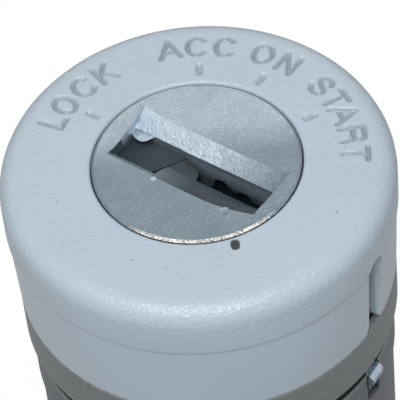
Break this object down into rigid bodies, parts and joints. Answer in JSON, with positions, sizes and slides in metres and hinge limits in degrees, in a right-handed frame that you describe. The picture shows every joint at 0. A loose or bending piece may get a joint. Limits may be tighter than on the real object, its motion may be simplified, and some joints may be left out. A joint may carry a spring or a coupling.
{
  "type": "ignition lock cylinder",
  "caption": "Ignition lock cylinder: grey bezel with switch position marks, turning plug with a sloped key recess and a shutter, die-cast housing with a sprung retaining latch.",
  "frame": {"origin": "centre of the rear rim plane, on the axis of the plug", "axes": "+Z along the axis towards the key face; +Y towards the bezel pin and the guide groove; the position mark for ACC is near +Y"},
  "size_m": [0.036, 0.036, 0.066],
  "materials": {
    "grey_paint": "satin light grey paint",
    "zinc_casting": "as-cast zinc, dull",
    "zinc_plug": "tumbled zinc casting, satin",
    "dark_steel": "blackened steel, satin",
    "bright_steel": "ground steel, bright",
    "steel_pin": "drawn steel, satin",
    "spring_steel": "drawn spring wire, satin",
    "zinc_plate_steel": "zinc-plated steel, satin",
    "brass_sheet": "stamped brass, satin",
    "black_nylon": "moulded nylon, matt"
  },
  "bodies": {
    "housing": {"lock_housing": "zinc_casting", "bezel_cap": "grey_paint", "bezel_pin": "steel_pin", "thrust_washer": "spring_steel", "rear_plate": "zinc_plate_steel", "plate_screws": "zinc_plate_steel", "detent_spring": "spring_steel", "detent_set_screw": "dark_steel", "latch_spring": "spring_steel", "return_spring": "spring_steel"},
    "plug": {"plug": "zinc_plug", "shutter_pin": "steel_pin", "shutter_spring": "spring_steel", "drive_coupling": "black_nylon", "coupling_pin": "steel_pin", "wafer_spring_1": "spring_steel", "wafer_spring_2": "spring_steel", "wafer_spring_3": "spring_steel", "wafer_spring_4": "spring_steel", "wafer_spring_5": "spring_steel", "wafer_spring_6": "spring_steel", "wafer_spring_7": "spring_steel", "wafer_spring_8": "spring_steel"},
    "shutter": {"shutter_flap": "dark_steel"},
    "detent_ball": {"detent_ball": "bright_steel"},
    "retaining_latch": {"retaining_latch": "bright_steel"},
    "wafer_1": {"wafer_1": "brass_sheet"},
    "wafer_2": {"wafer_2": "brass_sheet"},
    "wafer_3": {"wafer_3": "brass_sheet"},
    "wafer_4": {"wafer_4": "brass_sheet"},
    "wafer_5": {"wafer_5": "brass_sheet"},
    "wafer_6": {"wafer_6": "brass_sheet"},
    "wafer_7": {"wafer_7": "brass_sheet"},
    "wafer_8": {"wafer_8": "brass_sheet"}
  },
  "joints": [
    {"name": "plug_turn", "type": "hinge", "parent": "housing", "child": "plug", "pos_m": [0, 0, 0.041], "axis": [0, 0, 1], "range_deg": [-121, 0], "deforming": ["return_spring"]},
    {"name": "shutter_swing", "type": "hinge", "parent": "plug", "child": "shutter", "pos_m": [-0.00592, 0.00381, 0.06325], "axis": [0.6334, 0.7738, 0], "range_deg": [0, 75], "stiffness_Nm_per_rad": 0.0001, "springref_deg": -17.19, "deforming": ["shutter_spring"]},
    {"name": "wafer_1_slide", "type": "slide", "parent": "plug", "child": "wafer_1", "axis": [0.7738, -0.6334, 0], "range_m": [0, 0.0008], "stiffness_N_per_m": 50, "springref_m": 0.0008, "deforming": ["wafer_spring_1"]},
    {"name": "wafer_2_slide", "type": "slide", "parent": "plug", "child": "wafer_2", "axis": [-0.7738, 0.6334, 0], "range_m": [0, 0.0008], "stiffness_N_per_m": 50, "springref_m": 0.0008, "deforming": ["wafer_spring_2"]},
    {"name": "wafer_3_slide", "type": "slide", "parent": "plug", "child": "wafer_3", "axis": [0.7738, -0.6334, 0], "range_m": [0, 0.0008], "stiffness_N_per_m": 50, "springref_m": 0.0008, "deforming": ["wafer_spring_3"]},
    {"name": "wafer_4_slide", "type": "slide", "parent": "plug", "child": "wafer_4", "axis": [-0.7738, 0.6334, 0], "range_m": [0, 0.0008], "stiffness_N_per_m": 50, "springref_m": 0.0008, "deforming": ["wafer_spring_4"]},
    {"name": "wafer_5_slide", "type": "slide", "parent": "plug", "child": "wafer_5", "axis": [0.7738, -0.6334, 0], "range_m": [0, 0.0008], "stiffness_N_per_m": 50, "springref_m": 0.0008, "deforming": ["wafer_spring_5"]},
    {"name": "wafer_6_slide", "type": "slide", "parent": "plug", "child": "wafer_6", "axis": [-0.7738, 0.6334, 0], "range_m": [0, 0.0008], "stiffness_N_per_m": 50, "springref_m": 0.0008, "deforming": ["wafer_spring_6"]},
    {"name": "wafer_7_slide", "type": "slide", "parent": "plug", "child": "wafer_7", "axis": [0.7738, -0.6334, 0], "range_m": [0, 0.0008], "stiffness_N_per_m": 50, "springref_m": 0.0008, "deforming": ["wafer_spring_7"]},
    {"name": "wafer_8_slide", "type": "slide", "parent": "plug", "child": "wafer_8", "axis": [-0.7738, 0.6334, 0], "range_m": [0, 0.0008], "stiffness_N_per_m": 50, "springref_m": 0.0008, "deforming": ["wafer_spring_8"]},
    {"name": "detent_ball_slide", "type": "slide", "parent": "housing", "child": "detent_ball", "axis": [0.6334, 0.7738, 0], "range_m": [0, 0.0003], "stiffness_N_per_m": 800, "springref_m": 0.0003, "deforming": ["detent_spring"]},
    {"name": "latch_slide", "type": "slide", "parent": "housing", "child": "retaining_latch", "axis": [0.8241, -0.5664, 0], "range_m": [-0.0013, 0], "stiffness_N_per_m": 400, "deforming": ["latch_spring"]}
  ]
}
